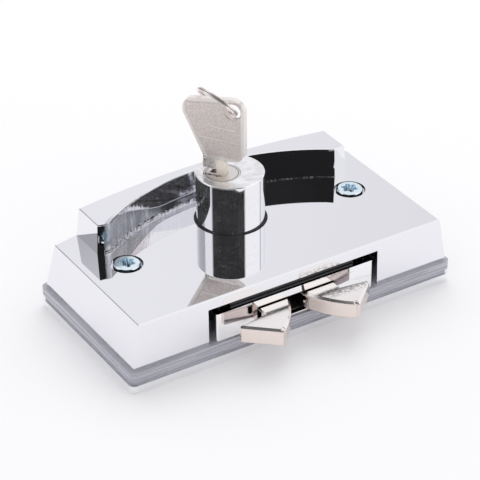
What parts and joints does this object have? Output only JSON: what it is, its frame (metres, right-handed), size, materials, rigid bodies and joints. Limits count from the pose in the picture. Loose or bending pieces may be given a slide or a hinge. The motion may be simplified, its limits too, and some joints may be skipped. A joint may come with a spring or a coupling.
{
  "type": "sliding glass door lock",
  "caption": "Chromed clamp-on lock for a sliding glass door: two spring claws, a press cylinder, a key with its ring, gaskets and a back plate",
  "frame": {"origin": "the middle of the casing's footprint on the underside of the back plate", "axes": "+Z out of the door through the casing and the press cylinder, -Y the way the claws reach, +X along the claw side"},
  "size_m": [0.1022, 0.0674, 0.0616],
  "materials": {
    "plate_chrome": "polished",
    "clear_gasket": "translucent grey",
    "case_chrome": "mirror plated",
    "blue_zinc": "blue passivated",
    "face_steel": "polished",
    "zinc_steel": "zinc plated",
    "pin_steel": "turned",
    "black_plastic": "matte",
    "satin_nickel": "satin nickel",
    "spring_steel": "drawn wire",
    "barrel_chrome": "mirror plated",
    "plug_nickel": "polished",
    "wafer_brass": "stamped",
    "key_nickel": "satin nickel",
    "ring_steel": "nickel plated"
  },
  "bodies": {
    "lock_case": {"back_plate": "plate_chrome", "rear_gasket": "clear_gasket", "front_gasket": "clear_gasket", "housing": "case_chrome", "mounting_screws": "blue_zinc", "face_plate": "face_steel", "case_base": "zinc_steel", "case_cover": "zinc_steel", "cover_posts": "zinc_steel", "case_screws": "zinc_steel", "pivot_pins": "pin_steel", "pivot_bushes": "pin_steel", "slide_studs": "pin_steel", "guide_bush": "black_plastic", "left_claw_spring": "spring_steel", "right_claw_spring": "spring_steel", "return_springs": "spring_steel"},
    "press_barrel": {"barrel": "barrel_chrome", "barrel_yoke": "zinc_steel", "locking_tongue": "pin_steel"},
    "core": {"plug": "plug_nickel", "plug_clip": "spring_steel", "wafers": "wafer_brass", "tailpiece": "pin_steel"},
    "cam": {"drive_cam": "zinc_steel"},
    "slide_plate": {"drive_slide": "zinc_steel"},
    "claw_left": {"left_claw": "satin_nickel"},
    "claw_right": {"right_claw": "satin_nickel"},
    "key_body": {"key": "key_nickel"},
    "ring_body": {"key_ring": "ring_steel"}
  },
  "joints": [
    {"name": "barrel_press", "type": "slide", "parent": "lock_case", "child": "press_barrel", "axis": [0, 0, -1], "range_m": [0, 0.0045], "stiffness_N_per_m": 400, "springref_m": -0.004, "deforming": ["return_springs"]},
    {"name": "core_turn", "type": "hinge", "parent": "press_barrel", "child": "core", "pos_m": [-0.0024, 0.0088, 0.03], "axis": [0, 0, 1], "range_deg": [0, 90], "stiffness_Nm_per_rad": 0.02, "springref_deg": -17.19},
    {"name": "cam_turn", "type": "hinge", "parent": "lock_case", "child": "cam", "pos_m": [-0.0024, 0.0088, 0.0078], "axis": [0, 0, 1], "range_deg": [0, 90]},
    {"name": "slide_shift", "type": "slide", "parent": "lock_case", "child": "slide_plate", "axis": [0, 1, 0], "range_m": [0, 0.00566]},
    {"name": "left_claw_swing", "type": "hinge", "parent": "lock_case", "child": "claw_left", "pos_m": [-0.0072, -0.015, 0.01035], "axis": [0, 0, 1], "range_deg": [0, 13], "deforming": ["left_claw_spring"]},
    {"name": "right_claw_swing", "type": "hinge", "parent": "lock_case", "child": "claw_right", "pos_m": [0.0072, -0.015, 0.01035], "axis": [0, 0, -1], "range_deg": [0, 13], "deforming": ["right_claw_spring"]},
    {"name": "key_pull", "type": "slide", "parent": "core", "child": "key_body", "axis": [0, 0, 1], "range_m": [0, 0.024]},
    {"name": "ring_turn", "type": "hinge", "parent": "key_body", "child": "ring_body", "pos_m": [-0.00283, 0.01009, 0.0564], "axis": [0.7425, 0.1169, 0.6596], "range_deg": [-180, 180]}
  ],
  "couplings": [
    {"joint": "cam_turn", "follows": "core_turn", "ratio": 1},
    {"joint": "slide_shift", "follows": "core_turn", "m_per_rad": 0.0036013},
    {"joint": "left_claw_swing", "follows": "core_turn", "ratio": 0.14444},
    {"joint": "right_claw_swing", "follows": "core_turn", "ratio": 0.14444}
  ]
}
